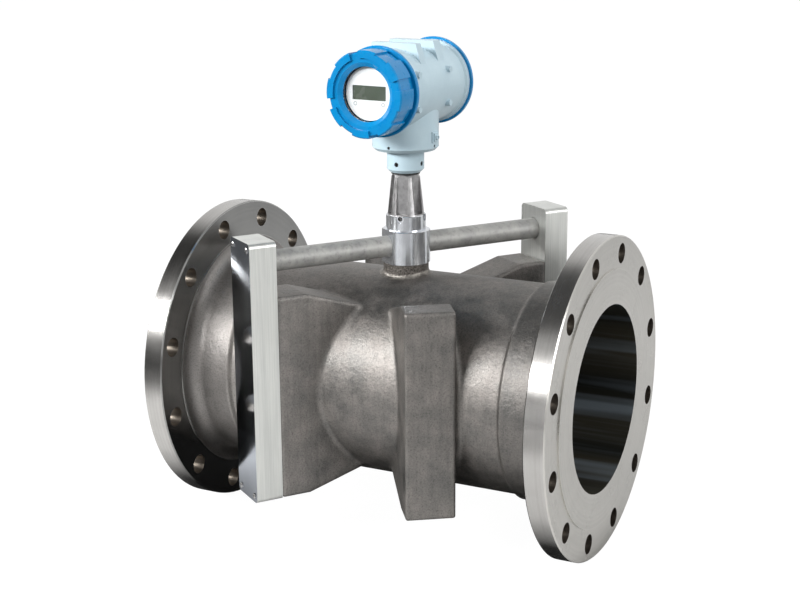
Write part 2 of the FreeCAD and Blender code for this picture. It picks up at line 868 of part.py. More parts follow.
def screw_cover(depth, grip_radius, opening):
    """Screw cover drawn along Z with its rim on the housing face at Z = 0.

    Four raised arcs with two lugs each stand round its lower face.
    """
    seat = thread_gap
    rim_top = seat + cover_rim_width
    groove_top = rim_top + cover_groove_width
    waist = grip_radius - lug_height
    face = depth - face_step
    body = turned([
        (0, -cover_thread_length),
        (mouth_radius - thread_gap, -cover_thread_length),
        (mouth_radius - thread_gap, seat),
        (cover_rim_radius, seat),
        (cover_rim_radius, rim_top - edge_break),
        (cover_rim_radius - edge_break, rim_top),
        (waist - cover_groove_depth, rim_top),
        (waist - cover_groove_depth, groove_top),
        (waist, groove_top),
        (waist, face - lug_chamfer),
        (waist - lug_chamfer, face),
        (0, face),
    ])
    inner = grip_radius - grip_width
    lug_side = (arc_width - lug_width) / 2
    extras = []
    for k in range(arc_count):
        middle = arc_turn + 360.0 * k / arc_count
        extras.append(grip_arc(waist, inner, groove_top, depth, middle, arc_width))
        for side in (-lug_side, lug_side):
            extras.append(grip_arc(grip_radius, inner, groove_top, depth, middle + side, lug_width))
    body = body.fuse(extras).removeSplitter()
    pocket = washer(
        cover_ring_major - cover_ring_minor - soft_gap,
        cover_ring_major + cover_ring_minor + soft_gap,
        seat - 1,
        seat + cover_ring_pocket_depth,
    )
    cuts = [pocket]
    if opening:
        bevel_bottom = depth - window_bevel_depth
        glass_top = bevel_bottom - glass_lip
        retainer_bottom = glass_top - glass_thickness - retainer_thickness
        cuts.append(turned([
            (0, -cover_thread_length - 1),
            (cover_cavity, -cover_thread_length - 1),
            (cover_cavity, retainer_bottom - 1),
            (retainer_outer + slip_gap, retainer_bottom - 1),
            (retainer_outer + slip_gap, glass_top - glass_thickness),
            (glass_radius + soft_gap, glass_top - glass_thickness),
            (glass_radius + soft_gap, glass_top),
            (window_radius, glass_top),
            (window_radius, bevel_bottom),
            (window_radius + window_bevel, face),
            (window_radius + window_bevel, depth + 1),
            (0, depth + 1),
        ]))
    else:
        cuts.append(cylinder(cover_cavity, -cover_thread_length - 1, depth - rear_cover_wall))
    return body.cut(cuts)


def build_head():
    save("transmitter_housing", transmitter_housing())
    grub = grub_screw(
        set_screw_radius - slip_gap,
        neck_tube_radius - neck_groove_depth + thread_gap,
        spigot_radius - set_screw_sink,
    )
    grubs = [radial(grub, a + head_turn, spigot_screw_height) for a in head_screw_angles]
    save("housing_set_screws", group(grubs))
    small = grub_screw(
        skirt_screw_radius - slip_gap,
        skirt_radius - skirt_wall + set_screw_sink,
        skirt_radius - set_screw_sink,
    )
    smalls = [radial(small, a + head_turn, skirt_screw_height) for a in head_screw_angles]
    save("skirt_screws", group(smalls))
    plug_top = entry_boss_reach + plug_flange_height
    plug = turned([
        (0, skirt_radius - skirt_wall + edge_break),
        (entry_radius - slip_gap, skirt_radius - skirt_wall + edge_break),
        (entry_radius - slip_gap, entry_boss_reach),
        (entry_radius + plug_flange, entry_boss_reach),
        (entry_radius + plug_flange, plug_top - edge_break),
        (entry_radius + plug_flange - edge_break, plug_top),
        (0, plug_top),
    ])
    plug = plug.cut(hexagon(plug_socket, plug_top - plug_socket, plug_top + 1))
    save("entry_plug", radial(plug, entry_angles[1] + head_turn, entry_height))
    clamp_top = earth_pad_reach + earth_clamp_thickness
    clamp = box(
        -earth_clamp_half, earth_clamp_half, -earth_clamp_half, earth_clamp_half,
        earth_pad_reach, clamp_top,
    )
    clamp = clamp.cut(cylinder(earth_screw_radius + screw_gap, earth_pad_reach - 1, clamp_top + 1))
    save("earth_clamp", radial(clamp, earth_angle + head_turn, earth_height))
    earth = screw(earth_screw_radius, earth_screw_head, earth_screw_head_height, earth_screw_length)
    placed = radial(moved(earth, z=clamp_top), earth_angle + head_turn, earth_height)
    save("earth_screw", placed)


def build_screw_covers():
    front = moved(screw_cover(front_cover_depth, front_grip_radius, True), z=housing_front)
    save("front_cover", on_head(front))
    rear = turned_about(screw_cover(rear_cover_depth, rear_grip_radius, False), X_AXIS, 180)
    save("rear_cover", on_head(moved(rear, z=housing_rear)))
    lift = thread_gap + cover_ring_pocket_depth / 2
    save("front_cover_o_ring", on_head(ring(cover_ring_major, cover_ring_minor, housing_front + lift)))
    save("rear_cover_o_ring", on_head(ring(cover_ring_major, cover_ring_minor, housing_rear - lift)))
    glass_top = housing_front + front_cover_depth - window_bevel_depth - glass_lip
    glass_bottom = glass_top - glass_thickness
    save("window_glass", on_head(cylinder(glass_radius, glass_bottom, glass_top)))
    retainer = washer(retainer_inner, retainer_outer, glass_bottom - retainer_thickness, glass_bottom)
    save("window_retainer", on_head(retainer))


def build_indicator():
    half_width = screen_width / 2
    half_height = screen_height / 2
    dial_back = dial_front - dial_thickness
    dial = cylinder(dial_radius, dial_back, dial_front)
    opening = box(-half_width, half_width, -half_height, half_height, dial_back - 1, dial_front + 1)
    save("dial_plate", on_head(dial.cut(moved(opening, y=screen_raise))))
    panel_back = dial_back - panel_thickness
    panel = box(
        -half_width - panel_margin, half_width + panel_margin,
        -half_height - panel_margin, half_height + panel_margin,
        panel_back, dial_back,
    )
    save("screen_panel", on_head(moved(panel, y=screen_raise)))
    tray = turned([
        (0, module_back), (module_radius, module_back), (module_radius, dial_back), (0, dial_back)
    ])
    pocket = box(
        -half_width - panel_margin - slip_gap, half_width + panel_margin + slip_gap,
        -half_height - panel_margin - slip_gap, half_height + panel_margin + slip_gap,
        panel_back, dial_back + 1,
    )
    save("display_module", on_head(tray.cut(moved(pocket, y=screen_raise))))


def build_electronics():
    can = cylinder(electronics_radius, partition_front, electronics_front)
    way = cylinder(module_screw_radius + thread_gap, partition_front - 1, electronics_front + 1)
    can = can.cut([moved(way, x=x, y=y) for x, y in module_screw_places()])
    post = cylinder(module_post_radius, electronics_front, module_back)
    save("electronics_module", on_head(can.fuse(post)))
    reach = electronics_front - partition_rear - 2 * edge_break
    long_screw = screw(module_screw_radius, module_screw_head, module_screw_head_height, reach)
    screws = [moved(long_screw, x=x, y=y, z=electronics_front) for x, y in module_screw_places()]
    save("module_screws", on_head(group(screws)))
    plate = cylinder(terminal_plate_radius, terminal_plate_rear, terminal_plate_front)
    block = box(
        -terminal_block_width / 2, terminal_block_width / 2,
        -terminal_block_height / 2, terminal_block_height / 2,
        terminal_block_rear, terminal_plate_rear,
    )
    foot = cylinder(terminal_foot_radius, terminal_plate_front, partition_rear)
    feet = [moved(foot, x=side * terminal_foot_side, y=terminal_foot_rise) for side in (-1, 1)]
    pitch = terminal_block_width / terminal_count
    floor = terminal_block_rear + terminal_well_depth
    screw_top = floor - terminal_screw_height
    half_slot = terminal_slot_width / 2
    reach = terminal_well_radius
    wells = []
    screws = []
    for k in range(terminal_count):
        x = (k - (terminal_count - 1) / 2) * pitch
        wells.append(moved(cylinder(terminal_well_radius, terminal_block_rear - 1, floor), x=x))
        head = cylinder(terminal_screw_radius, screw_top, floor)
        slot = box(-reach, reach, -half_slot, half_slot, screw_top - 1, screw_top + half_slot * 2)
        screws.append(moved(head.cut(slot), x=x))
    save("terminal_block", on_head(plate.fuse([block] + feet).cut(wells)))
    save("terminal_screws", on_head(group(screws)))


save("meter_body", meter_body())
build_transducers()
build_sensor_covers()
build_conduits()
build_stem()
build_head()
build_screw_covers()
build_indicator()
build_electronics()
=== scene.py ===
import json
import math

import bpy
from mathutils import Matrix, Vector

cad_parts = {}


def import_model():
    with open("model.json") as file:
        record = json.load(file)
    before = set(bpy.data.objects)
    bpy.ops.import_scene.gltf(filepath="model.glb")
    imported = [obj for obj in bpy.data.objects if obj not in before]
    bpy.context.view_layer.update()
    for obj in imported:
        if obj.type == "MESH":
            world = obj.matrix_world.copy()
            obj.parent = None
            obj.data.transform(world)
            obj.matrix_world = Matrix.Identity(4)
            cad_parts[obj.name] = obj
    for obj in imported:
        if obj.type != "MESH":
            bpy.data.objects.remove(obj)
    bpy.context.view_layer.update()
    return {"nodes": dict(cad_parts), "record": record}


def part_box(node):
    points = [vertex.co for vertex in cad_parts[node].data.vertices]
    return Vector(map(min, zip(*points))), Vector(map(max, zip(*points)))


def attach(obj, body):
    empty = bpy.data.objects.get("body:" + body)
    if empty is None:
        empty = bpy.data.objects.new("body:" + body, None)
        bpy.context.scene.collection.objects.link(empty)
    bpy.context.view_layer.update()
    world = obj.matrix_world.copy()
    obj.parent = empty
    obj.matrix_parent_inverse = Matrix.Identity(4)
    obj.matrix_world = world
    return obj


# Looks of the ultrasonic flow meter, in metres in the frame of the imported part:
# +X runs along the pipe, +Z is up and the dial faces -Y.

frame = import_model()
nodes = frame["nodes"]

# Camera of the photograph
camera_place = (0.8531, -1.6964, 0.5996)
camera_azimuth = 26.95
camera_elevation = 14.87
camera_roll = -0.41
camera_lens = 68.19
camera_sensor = 36.0

# Places read from the frame
body_low, body_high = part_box("meter_body")
floor_level = body_low.z
half_length = body_high.x

# Sizes of the cast body
flange_thickness = 0.0286
flange_back = half_length - flange_thickness
flange_back_edge = 0.0016
face_depth = 0.004
hub_edge = 0.1563
bore_radius = 0.1183
bolt_count = 12
bolt_circle = 0.18098
bolt_hole_radius = 0.0127
end_band = 0.1904
# Painted shade past the end step: where it fades in and how strong it is
end_band_shade_fade = (-0.001, 0.003)
end_band_shade_share = 0.30
wing_end = 0.194
wing_top = 0.1282
boss_start = 0.13
boss_reach = 0.0292
foot_start = 0.12
foot_reach = 0.0356
facet_slack = 0.0004
hole_slack = 0.001
hole_wall_tilt = 0.3

# Painted sheen on the cast skin towards the left flange: where it fades, how strong and how ragged it is
painted_sheen_fade = (-0.16, -0.01)
painted_sheen_share = 0.40
painted_sheen_raggedness = 0.12

# Sizes of the sensor covers and the conduits
conduit_height = 0.170
conduit_radius = 0.0136
conduit_play = 0.0006
cover_top = 0.198
cover_half_width = 0.0275
cover_corner = 0.004
sheet_thickness = 0.002
cover_back_gap = 0.0003
polished_facing = 0.9
corner_steps = 6
hole_steps = 48

# Marks on the dial
key_line_drop = 0.0125
key_line_half_width = 0.0135
key_line_radius = 0.0021
line_width = 0.00035
key_reach = 0.0195
key_ring_width = 0.0009

# Painted shadow along the top and left edges of the screen: where it fades, down from the top and in from
# the left
screen_top_painted_shadow = (0.0014, 0.0022)
screen_left_painted_shadow = (0.0018, 0.0026)

# Studio
studio_half_width = 14.0
floor_drop = 0.0002
floor_glow = 1.08
camera_glow_share = 0.9
mirror_glow_share = 0.1
card_distance = 1.25
card_foot = -0.05
card_steps = 8
lamp_aim = (0.0, 0.0, 0.05)

# Soft edges of the floor's painted shade in mirrors: under the meter, then out to the left and front
shade_left = (-0.45, -0.30)
shade_right = (0.255, 0.30)
shade_front = (-0.21, -0.12)
shade_rear = (0.30, 0.50)
room_left = (-0.80, -0.45)
room_left_level = 0.06
room_front = (-0.75, -0.50)
room_front_level = 0.45

# Grey levels of the studio's front and rear, from straight down at 0 to straight up at 1
front_levels = (
    (0.0, 0.3), (0.5, 0.25), (0.56, 0.25), (0.63, 0.40), (0.70, 0.42),
    (0.74, 0.70), (0.88, 0.68), (0.92, 0.09), (1.0, 0.10),
)
rear_levels = ((0.0, 0.8), (0.5, 0.9), (0.86, 0.92), (0.92, 0.6), (0.95, 0.12), (1.0, 0.10))

# Soft edges of the studio's left, right and rear as parts of a direction, with their levels
left_edge = (-0.57, -0.38)
left_levels = ((0.0, 0.08), (1.0, 1.0))
right_edge = (0.35, 0.75)
right_grey = (0.8, 0.8, 0.8, 1.0)
rear_edge = (0.22, 0.55)


def colour(red, green, blue):
    """Linear colour of an sRGB triple from 0 to 255."""
    def linear(value):
        share = value / 255.0
        return share / 12.92 if share <= 0.04045 else ((share + 0.055) / 1.055) ** 2.4
    return (linear(red), linear(green), linear(blue), 1.0)


class Look:
    """A node material with one shader, built up a node at a time."""

    def __init__(self, name, **values):
        self.material = bpy.data.materials.new(name)
        self.material.use_nodes = True
        self.tree = self.material.node_tree
        self.shader = self.tree.nodes["Principled BSDF"]
        for key, value in values.items():
            self.shader.inputs[key.replace("_", " ")].default_value = value
        self.place = self.add("ShaderNodeTexCoord").outputs["Object"]

    def add(self, kind, **settings):
        node = self.tree.nodes.new(kind)
        for key, value in settings.items():
            setattr(node, key, value)
        return node

    def link(self, source, target):
        self.tree.links.new(source, target)

    def put(self, socket, value):
        if isinstance(value, bpy.types.NodeSocket):
            self.link(value, socket)
        else:
            socket.default_value = value

    def stretched(self, scale):
        """Object place with each axis scaled by its own factor."""
        node = self.add("ShaderNodeMapping")
        node.inputs["Scale"].default_value = scale
        self.link(self.place, node.inputs["Vector"])
        return node.outputs["Vector"]

    def noise(self, scale, detail=4.0, rough=0.55, place=None):
        node = self.add("ShaderNodeTexNoise")
        self.link(place or self.place, node.inputs["Vector"])
        node.inputs["Scale"].default_value = scale
        node.inputs["Detail"].default_value = detail
        node.inputs["Roughness"].default_value = rough
        return node.outputs["Fac"]

    def band(self, value, low, high, start=0.0, end=1.0):
        """Value between low and high mapped to start and end."""
        node = self.add("ShaderNodeMapRange")
        node.clamp = True
        self.link(value, node.inputs["Value"])
        node.inputs["From Min"].default_value = low
        node.inputs["From Max"].default_value = high
        node.inputs["To Min"].default_value = start
        node.inputs["To Max"].default_value = end
        return node.outputs["Result"]

    def math(self, operation, first, second=0.0):
        node = self.add("ShaderNodeMath", operation=operation)
        self.put(node.inputs[0], first)
        self.put(node.inputs[1], second)
        return node.outputs[0]

    def mix(self, share, first, second):
        node = self.add("ShaderNodeMix", data_type="RGBA")
        self.put(node.inputs["Factor"], share)
        self.put(node.inputs["A"], first)
        self.put(node.inputs["B"], second)
        return node.outputs["Result"]

    def axes(self):
        node = self.add("ShaderNodeSeparateXYZ")
        self.link(self.place, node.inputs[0])
        return node.outputs

    def pipe_radius(self):
        """Distance from the pipe axis."""
        parts = self.axes()
        squares = self.math(
            "ADD", self.math("MULTIPLY", parts[1], parts[1]), self.math("MULTIPLY", parts[2], parts[2])
        )
        return self.math("SQRT", squares)

    def edges(self, radius):
        """Near 1 along sharp edges, from the difference of a rounded normal."""
        rounded = self.add("ShaderNodeBevel", samples=4)
        rounded.inputs["Radius"].default_value = radius
        flat = self.add("ShaderNodeNewGeometry").outputs["Normal"]
        dot = self.add("ShaderNodeVectorMath", operation="DOT_PRODUCT")
        self.link(rounded.outputs["Normal"], dot.inputs[0])
        self.link(flat, dot.inputs[1])
        away = self.math("SUBTRACT", 1.0, dot.outputs["Value"])
        return self.band(self.math("MULTIPLY", away, 6.0), 0.05, 1.0)

    def outline(self, across, up, half_width, radius, thickness):
        """1 on the outline of a level bar with round ends, from its middle."""
        sideways = self.math("ABSOLUTE", across)
        past = self.math("MAXIMUM", self.math("SUBTRACT", sideways, half_width - radius), 0.0)
        squares = self.math("ADD", self.math("MULTIPLY", past, past), self.math("MULTIPLY", up, up))
        away = self.math("ABSOLUTE", self.math("SUBTRACT", self.math("SQRT", squares), radius))
        return self.band(away, thickness * 0.4, thickness * 0.8, 1.0, 0.0)

    def rounded(self, radius):
        """Normal that turns softly over sharp edges."""
        node = self.add("ShaderNodeBevel", samples=4)
        node.inputs["Radius"].default_value = radius
        return node.outputs["Normal"]

    def bump(self, height, strength, distance, base=None):
        node = self.add("ShaderNodeBump")
        node.inputs["Strength"].default_value = strength
        node.inputs["Distance"].default_value = distance
        self.link(height, node.inputs["Height"])
        if base is not None:
            self.link(base, node.inputs["Normal"])
        return node.outputs["Normal"]

    def finish(self, tint=None, rough=None, normal=None, tangent=None):
        if tint is not None:
            self.link(tint, self.shader.inputs["Base Color"])
        if rough is not None:
            self.link(rough, self.shader.inputs["Roughness"])
        if normal is not None:
            self.link(normal, self.shader.inputs["Normal"])
        if tangent is not None:
            self.link(tangent, self.shader.inputs["Tangent"])
        return self.material


def cast_look():
    """Blasted stainless casting: mottled grey-brown, pitted, paler on worn edges.

    It also has painted sheen towards the left flange and painted shade past the end step.
    """
    look = Look("cast_stainless", Metallic=0.95)
    broad = look.noise(11.0, 5.0)
    cloud = look.noise(42.0, 6.0, 0.6)
    streak = look.noise(1.0, 4.0, 0.6, look.stretched((150.0, 150.0, 14.0)))
    tint = look.mix(look.band(broad, 0.3, 0.7), colour(106, 105, 103), colour(132, 129, 125))
    tint = look.mix(look.band(cloud, 0.35, 0.75, 0.0, 0.55), tint, colour(168, 161, 156))
    tint = look.mix(look.band(streak, 0.45, 0.7, 0.0, 0.30), tint, colour(88, 88, 87))
    worn = look.math("MULTIPLY", look.edges(0.0025), look.band(look.noise(160.0, 5.0), 0.35, 0.6))
    tint = look.mix(look.math("MULTIPLY", worn, 0.55), tint, colour(190, 186, 180))
    place = look.axes()[0]
    # Painted sheen: the cast skin is lighter towards the left flange, with a ragged edge
    ragged = look.math("ADD", place, look.math("MULTIPLY", broad, painted_sheen_raggedness))
    painted_sheen = look.band(ragged, *painted_sheen_fade, painted_sheen_share, 0.0)
    tint = look.mix(painted_sheen, tint, colour(216, 210, 206))
    # Painted shade on the pipe past the end step
    fade_start, fade_end = end_band + end_band_shade_fade[0], end_band + end_band_shade_fade[1]
    painted_shade_past_step = look.band(look.math("ABSOLUTE", place), fade_start, fade_end, 0.0, end_band_shade_share)
    tint = look.mix(painted_shade_past_step, tint, colour(70, 71, 71))
    specks = look.noise(520.0, 4.0, 0.7)
    tint = look.mix(look.band(specks, 0.51, 0.71, 0.0, 0.58), tint, colour(68, 67, 64))
    tint = look.mix(look.band(specks, 0.28, 0.46, 0.35, 0.0), tint, colour(160, 155, 148))
    rough = look.band(cloud, 0.3, 0.7, 0.42, 0.54)
    grain = look.noise(900.0, 3.0, 0.6)
    pits = look.noise(260.0, 5.0, 0.65)
    dents = look.noise(55.0, 3.0)
    normal = look.bump(dents, 0.40, 0.0014, look.rounded(0.005))
    normal = look.bump(pits, 0.60, 0.0007, normal)
    normal = look.bump(grain, 0.40, 0.00025, normal)
    return look.finish(tint, rough, normal)


def boss_look():
    """Rough cast skin of the stem boss above its ground foot."""
    look = Look("cast_boss", Metallic=0.8)
    lumps = look.noise(480.0, 4.0, 0.65)
    tint = look.mix(look.band(lumps, 0.35, 0.65), colour(66, 63, 60), colour(134, 128, 122))
    rough = look.band(lumps, 0.3, 0.7, 0.40, 0.55)
    normal = look.bump(lumps, 0.8, 0.0012)
    return look.finish(tint, rough, normal)


def foot_look():
    """Ground fillet at the foot of the stem boss."""
    look = Look("ground_foot", Metallic=0.85)
    cloud = look.noise(120.0, 4.0)
    specks = look.noise(420.0, 4.0, 0.65)
    tint = look.mix(look.band(cloud, 0.3, 0.7), colour(112, 108, 103), colour(164, 159, 152))
    tint = look.mix(look.band(specks, 0.5, 0.7, 0.0, 0.6), tint, colour(84, 81, 77))
    return look.finish(tint, look.band(cloud, 0.3, 0.7, 0.40, 0.52), look.bump(specks, 0.4, 0.0008))


def lathe_look(name, dark, light, low, high, across, lines=2600.0):
    """Turned metal with fine marks round the pipe axis, across the radius or along the length."""
    look = Look(name, Metallic=1.0, Anisotropic=0.6, Anisotropic_Rotation=0.25)
    course = look.pipe_radius() if across == "radius" else look.axes()[0]
    spread = look.add("ShaderNodeCombineXYZ")
    look.link(look.math("MULTIPLY", course, lines), spread.inputs[0])
    marks = look.noise(1.0, 3.0, 0.6, spread.outputs[0])
    wide = look.add("ShaderNodeCombineXYZ")
    look.link(look.math("MULTIPLY", course, lines / 14.0), wide.inputs[0])
    rings = look.noise(1.0, 3.0, 0.6, wide.outputs[0])
    cloud = look.noise(26.0, 5.0)
    share = look.math("ADD", look.math("MULTIPLY", rings, 0.6), look.math("MULTIPLY", cloud, 0.4))
    tint = look.mix(look.band(share, 0.3, 0.7), dark, light)
    worn = look.edges(0.0012)
    tint = look.mix(look.math("MULTIPLY", worn, 0.6), tint, colour(232, 230, 226))
    uneven = look.math("ADD", look.math("MULTIPLY", marks, 0.5), look.math("MULTIPLY", cloud, 0.5))
    rough = look.band(uneven, 0.3, 0.7, low, high)
    normal = look.bump(marks, 0.12, 0.00008)
    tangent = look.add("ShaderNodeTangent", direction_type="RADIAL", axis="X")
    return look.finish(tint, rough, normal, tangent.outputs[0])


def bore_look():
    """Honed bore in dark, brown and light streaks along the length: painted shade and painted reflections
    of the lamps.
    """
    look = Look("honed_bore", Metallic=0.55)
    parts = look.axes()
    turn = look.math("ARCTAN2", parts[1], parts[2])
    layers = []
    for turns, lengths in ((1.3, 0.4), (4.2, 1.2), (24.0, 3.0)):
        spread = look.add("ShaderNodeCombineXYZ")
        look.link(look.math("MULTIPLY", turn, turns), spread.inputs[0])
        look.link(look.math("MULTIPLY", parts[0], lengths), spread.inputs[1])
        layers.append(look.noise(1.0, 2.0, 0.5, spread.outputs[0]))
    # Painted shade and painted reflections: dark, brown and light streaks round the bore
    tint = look.mix(look.band(layers[0], 0.35, 0.6), colour(18, 24, 26), colour(78, 74, 62))
    tint = look.mix(look.band(layers[1], 0.50, 0.66, 0.0, 0.65), tint, colour(150, 162, 172))
    tint = look.mix(look.band(layers[2], 0.5, 0.75, 0.0, 0.15), tint, colour(120, 128, 134))
    rough = look.band(layers[2], 0.3, 0.7, 0.30, 0.42)
    return look.finish(tint, rough, look.bump(layers[2], 0.10, 0.0002))


def drilled_look():
    """Drilled hole wall with drill rings, darker than the turned faces as painted shade."""
    look = Look("drilled_hole", Metallic=0.9)
    rings = look.noise(1.0, 3.0, 0.5, look.stretched((2200.0, 300.0, 300.0)))
    # Painted shade: the hole wall is darker than the turned faces
    tint = look.mix(rings, colour(66, 60, 54), colour(132, 124, 114))
    return look.finish(tint, look.band(rings, 0.3, 0.7, 0.30, 0.45), look.bump(rings, 0.3, 0.0002))


def sheet_look():
    """Folded stainless sheet with a fine upright grain."""
    look = Look("sheet_stainless", Metallic=0.8, Anisotropic=0.35)
    grain = look.noise(1.0, 4.0, 0.6, look.stretched((900.0, 900.0, 9.0)))
    broad = look.noise(1.0, 4.0, 0.6, look.stretched((60.0, 60.0, 7.0)))
    cloud = look.noise(14.0, 4.0)
    tint = look.mix(look.band(grain, 0.3, 0.7), colour(206, 208, 204), colour(228, 229, 225))
    tint = look.mix(look.band(broad, 0.4, 0.75, 0.0, 0.35), tint, colour(176, 178, 176))
    uneven = look.math("ADD", look.math("MULTIPLY", grain, 0.6), look.math("MULTIPLY", cloud, 0.4))
    rough = look.band(uneven, 0.3, 0.7, 0.28, 0.40)
    return look.finish(tint, rough, look.bump(grain, 0.15, 0.0001))


def mirror_look():
    """Mirror polished plate, a little hazy and wavy."""
    look = Look("mirror_stainless", Metallic=1.0)
    haze = look.noise(30.0, 5.0, 0.6)
    wave = look.noise(9.0, 2.0)
    tint = look.mix(haze, colour(160, 166, 176), colour(184, 189, 196))
    return look.finish(tint, look.band(haze, 0.35, 0.7, 0.06, 0.13), look.bump(wave, 0.10, 0.002))


def upright_turned_look(name, dark, light, low, high, anisotropic):
    """Bar turned about the stem axis, with fine level marks."""
    look = Look(name, Metallic=0.85, Anisotropic=anisotropic, Anisotropic_Rotation=0.25)
    marks = look.noise(1.0, 3.0, 0.6, look.stretched((60.0, 60.0, 3200.0)))
    cloud = look.noise(90.0, 4.0)
    tint = look.mix(look.band(cloud, 0.3, 0.7), dark, light)
    worn = look.edges(0.0008)
    tint = look.mix(look.math("MULTIPLY", worn, 0.6), tint, colour(236, 236, 236))
    tangent = look.add("ShaderNodeTangent", direction_type="RADIAL", axis="Z")
    rough = look.band(marks, 0.3, 0.7, low, high)
    return look.finish(tint, rough, look.bump(marks, 0.12, 0.00008), tangent.outputs[0])


def neck_look():
    """Turned neck and its milled slots, brushed upwards."""
    look = Look("neck_stainless", Metallic=1.0)
    grain = look.noise(1.0, 4.0, 0.6, look.stretched((1300.0, 1300.0, 40.0)))
    cloud = look.noise(120.0, 4.0)
    tint = look.mix(look.band(cloud, 0.3, 0.7), colour(150, 149, 149), colour(188, 187, 188))
    worn = look.edges(0.0010)
    tint = look.mix(look.math("MULTIPLY", worn, 0.7), tint, colour(228, 226, 224))
    return look.finish(tint, look.band(grain, 0.3, 0.7, 0.26, 0.40), look.bump(grain, 0.2, 0.0001))


def conduit_look():
    """Pickled stainless tube: dull grey with faint patches."""
    look = Look("conduit_stainless", Metallic=0.4)
    cloud = look.noise(34.0, 5.0, 0.6)
    spots = look.noise(170.0, 4.0, 0.6)
    tint = look.mix(look.band(cloud, 0.35, 0.7), colour(150, 150, 148), colour(182, 181, 177))
    tint = look.mix(look.band(spots, 0.5, 0.75, 0.0, 0.5), tint, colour(108, 106, 104))
    rough = look.band(cloud, 0.3, 0.7, 0.46, 0.60)
    normal = look.bump(spots, 0.25, 0.0004)
    normal = look.bump(look.noise(1100.0, 3.0), 0.2, 0.00015, normal)
    return look.finish(tint, rough, normal)


def plain_metal_look(name, dark, light, low, high):
    """Small metal piece with faint clouds and paler edges."""
    look = Look(name, Metallic=1.0)
    cloud = look.noise(260.0, 4.0)
    tint = look.mix(look.band(cloud, 0.3, 0.7), dark, light)
    worn = look.edges(0.0005)
    tint = look.mix(look.math("MULTIPLY", worn, 0.5), tint, colour(225, 224, 222))
    return look.finish(tint, look.band(cloud, 0.3, 0.7, low, high), look.bump(cloud, 0.15, 0.0001))


def paint_look(name, main, shade, low, high, coat, edge):
    """Sprayed paint on a casting: orange peel, faint blotches and a paler worn edge."""
    look = Look(name, Metallic=0.0)
    look.shader.inputs["Coat Weight"].default_value = coat
    look.shader.inputs["Coat Roughness"].default_value = 0.08
    look.shader.inputs["Specular IOR Level"].default_value = 0.2
    broad = look.noise(36.0, 4.0)
    skin = look.noise(620.0, 2.0, 0.5)
    cast = look.noise(150.0, 3.0)
    tint = look.mix(look.band(broad, 0.3, 0.7), main, shade)
    tint = look.mix(look.math("MULTIPLY", look.edges(0.0010), 0.35), tint, edge)
    rough = look.band(look.noise(90.0, 4.0), 0.3, 0.7, low, high)
    normal = look.bump(cast, 0.18, 0.0006)
    normal = look.bump(skin, 0.25, 0.00018, normal)
    return look.finish(tint, rough, normal)


def rubber_look():
    """Black rubber with a dull grain."""
    look = Look("black_rubber", Metallic=0.0)
    grain = look.noise(700.0, 3.0)
    tint = look.mix(grain, colour(22, 22, 23), colour(44, 44, 45))
    return look.finish(tint, look.band(grain, 0.3, 0.7, 0.5, 0.75), look.bump(grain, 0.3, 0.0002))


def glass_look():
    """Clear window that lets lamp light through to the dial."""
    look = Look("window_glass", Metallic=0.0, Roughness=0.02, IOR=1.5)
    look.shader.inputs["Transmission Weight"].default_value = 1.0
    smear = look.noise(60.0, 4.0)
    tint = look.mix(look.band(smear, 0.4, 0.8), colour(252, 254, 254), colour(246, 250, 250))
    look.finish(tint, look.band(smear, 0.4, 0.8, 0.0, 0.03))
    path = look.add("ShaderNodeLightPath")
    passing = look.math("MAXIMUM", path.outputs["Is Shadow Ray"], path.outputs["Is Diffuse Ray"])
    clear = look.add("ShaderNodeBsdfTransparent")
    both = look.add("ShaderNodeMixShader")
    look.link(passing, both.inputs[0])
    look.link(look.shader.outputs[0], both.inputs[1])
    look.link(clear.outputs[0], both.inputs[2])
    look.link(both.outputs[0], look.tree.nodes["Material Output"].inputs["Surface"])
    return look.material


def dial_look():
    """White plate with a thin outline and two small circles under the screen."""
    look = Look("dial_plastic", Metallic=0.0)
    fine = look.noise(900.0, 3.0)
    tint = look.mix(fine, colour(243, 243, 242), colour(250, 250, 249))
    low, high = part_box("dial_plate")
    parts = look.axes()
    right = look.math("SUBTRACT", parts[0], (low.x + high.x) / 2)
    up = look.math("SUBTRACT", parts[2], (low.z + high.z) / 2)
    line_up = look.math("ADD", up, key_line_drop)
    frame_line = look.outline(right, line_up, key_line_half_width, key_line_radius, line_width)
    tint = look.mix(look.math("MULTIPLY", frame_line, 0.5), tint, colour(150, 152, 156))
    for middle in (-key_reach, key_reach):
        sideways = look.math("SUBTRACT", right, middle)
        button = look.outline(sideways, line_up, key_line_radius, key_line_radius, key_ring_width)
        tint = look.mix(look.math("MULTIPLY", button, 0.7), tint, colour(120, 124, 130))
    return look.finish(tint, look.band(fine, 0.3, 0.7, 0.38, 0.48), look.bump(fine, 0.08, 0.00008))


